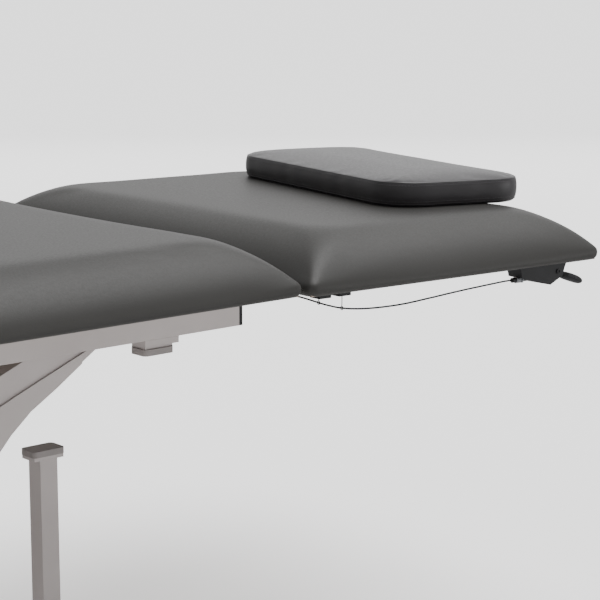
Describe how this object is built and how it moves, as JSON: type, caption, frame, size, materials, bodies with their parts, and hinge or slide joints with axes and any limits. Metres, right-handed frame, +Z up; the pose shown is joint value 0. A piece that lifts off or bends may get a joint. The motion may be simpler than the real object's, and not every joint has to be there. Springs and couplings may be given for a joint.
{
  "type": "electric massage table",
  "caption": "Electric two-section massage table with rounded padded tops, a loose pillow, curved parallel lift arms, a gas-sprung head section and a floor frame",
  "frame": {"origin": "Centre of the outline in plan, on the floor under the levelling feet", "axes": "+X points to the head end, along the table; +Y to the side away from the hand lever; +Z up"},
  "size_m": [2.0133, 0.75, 0.6429],
  "materials": {
    "powder_coat": "light warm grey powder coat, satin",
    "hide": "dark grey smooth artificial leather, soft sheen",
    "pillow_hide": "dark grey artificial leather with a fine grain",
    "plywood": "plain plywood",
    "black_plastic": "black moulded plastic, fine texture",
    "buttons": "soft grey rubber",
    "pads": "mid grey rubber",
    "steel": "zinc-plated and ground steel",
    "bearing": "moulded nylon bearing",
    "spring_black": "black enamelled steel tube",
    "cable": "black plastic-covered cable"
  },
  "bodies": {
    "base": {"base_runner_near": "powder_coat", "base_runner_far": "powder_coat", "base_cross_tubes": "powder_coat", "base_pivot_plates": "powder_coat", "buffer_posts": "powder_coat", "buffer_pads": "pads", "foot_pads": "black_plastic", "foot_studs": "steel", "runner_caps": "black_plastic", "actuator_bracket": "powder_coat", "actuator_base_pin": "steel", "lower_axles": "steel", "control_box": "black_plastic", "mains_inlet": "black_plastic"},
    "front_arm": {"front_beam_near": "powder_coat", "front_beam_far": "powder_coat", "front_torque_tube": "powder_coat", "front_cross_tube": "powder_coat", "lift_crank": "powder_coat", "crank_pin": "steel", "front_bushes": "bearing"},
    "rear_arm": {"rear_beam_near": "powder_coat", "rear_beam_far": "powder_coat", "rear_torque_tube": "powder_coat", "rear_cross_tube": "powder_coat", "rear_bushes": "bearing"},
    "actuator_body": {"gear_housing": "black_plastic", "motor_housing": "black_plastic", "actuator_tube": "steel"},
    "actuator_push_rod": {"actuator_rod": "steel"},
    "upper_frame": {"side_rail_near": "powder_coat", "side_rail_far": "powder_coat", "rail_caps": "black_plastic", "frame_cross_tubes": "powder_coat", "upper_pivot_plates": "powder_coat", "upper_pivot_pins": "steel", "rail_stubs": "powder_coat", "rail_pads": "pads", "body_board": "plywood", "body_cushion": "hide", "spring_body_bracket": "powder_coat", "body_hinge_leaves": "steel", "hinge_pins": "steel", "switch_housing": "black_plastic"},
    "up_button": {"button_up": "buttons"},
    "down_button": {"button_down": "buttons"},
    "gas_spring_cylinder": {"gas_cylinder": "spring_black"},
    "gas_spring_rod": {"gas_rod": "steel", "release_head": "steel"},
    "head_section": {"head_side_tubes": "powder_coat", "head_cross_tubes": "powder_coat", "head_board": "plywood", "head_cushion": "hide", "head_hinge_leaves": "steel", "spring_head_bracket": "powder_coat", "lever_housing": "black_plastic", "release_cable": "cable", "cable_clips": "black_plastic"},
    "hand_lever": {"release_lever": "black_plastic"},
    "loose_pillow": {"pillow": "pillow_hide"}
  },
  "joints": [
    {"name": "lift", "type": "hinge", "parent": "base", "child": "front_arm", "pos_m": [-0.40651, 0, 0.11], "axis": [0, -1, 0], "range_deg": [-10.3, 39.35]},
    {"name": "rear_lift", "type": "hinge", "parent": "base", "child": "rear_arm", "pos_m": [-0.92651, 0, 0.11], "axis": [0, -1, 0], "range_deg": [-10.3, 39.35]},
    {"name": "frame_level", "type": "hinge", "parent": "front_arm", "child": "upper_frame", "pos_m": [0.16229, 0, 0.518], "axis": [0, -1, 0], "range_deg": [-39.35, 10.3]},
    {"name": "actuator_swing", "type": "hinge", "parent": "base", "child": "actuator_body", "pos_m": [-0.10651, 0, 0.11], "axis": [0, -1, 0], "range_deg": [-5.15, 19.68]},
    {"name": "push_rod_swing", "type": "hinge", "parent": "front_arm", "child": "actuator_push_rod", "pos_m": [-0.35442, 0, 0.40544], "axis": [0, -1, 0], "range_deg": [-19.68, 5.15]},
    {"name": "head_tilt", "type": "hinge", "parent": "upper_frame", "child": "head_section", "pos_m": [0.38829, 0, 0.5445], "axis": [0, -1, 0], "range_deg": [-22, 40]},
    {"name": "gas_cylinder_swing", "type": "hinge", "parent": "upper_frame", "child": "gas_spring_cylinder", "pos_m": [0.23891, 0, 0.41916], "axis": [0, -1, 0], "range_deg": [-11, 20]},
    {"name": "gas_rod_swing", "type": "hinge", "parent": "head_section", "child": "gas_spring_rod", "pos_m": [0.5775, 0, 0.49733], "axis": [0, -1, 0], "range_deg": [-20, 11]},
    {"name": "lever_squeeze", "type": "hinge", "parent": "head_section", "child": "hand_lever", "pos_m": [0.87181, -0.345, 0.51471], "axis": [0, -1, 0], "range_deg": [0, 14], "stiffness_Nm_per_rad": 2, "springref_deg": -5.73},
    {"name": "up_press", "type": "slide", "parent": "upper_frame", "child": "up_button", "axis": [0, 1, 0], "range_m": [0, 0.0025], "stiffness_N_per_m": 900, "springref_m": -0.001},
    {"name": "down_press", "type": "slide", "parent": "upper_frame", "child": "down_button", "axis": [0, 1, 0], "range_m": [0, 0.0025], "stiffness_N_per_m": 900, "springref_m": -0.001},
    {"name": "pillow_lift", "type": "slide", "parent": "head_section", "child": "loose_pillow", "axis": [0, 0, 1], "range_m": [0, 0.15]}
  ],
  "couplings": [
    {"joint": "rear_lift", "follows": "lift", "ratio": 1},
    {"joint": "frame_level", "follows": "lift", "ratio": -1},
    {"joint": "actuator_swing", "follows": "lift", "ratio": 0.5},
    {"joint": "push_rod_swing", "follows": "lift", "ratio": -0.5},
    {"joint": "gas_cylinder_swing", "follows": "head_tilt", "ratio": 0.5},
    {"joint": "gas_rod_swing", "follows": "head_tilt", "ratio": -0.5}
  ]
}
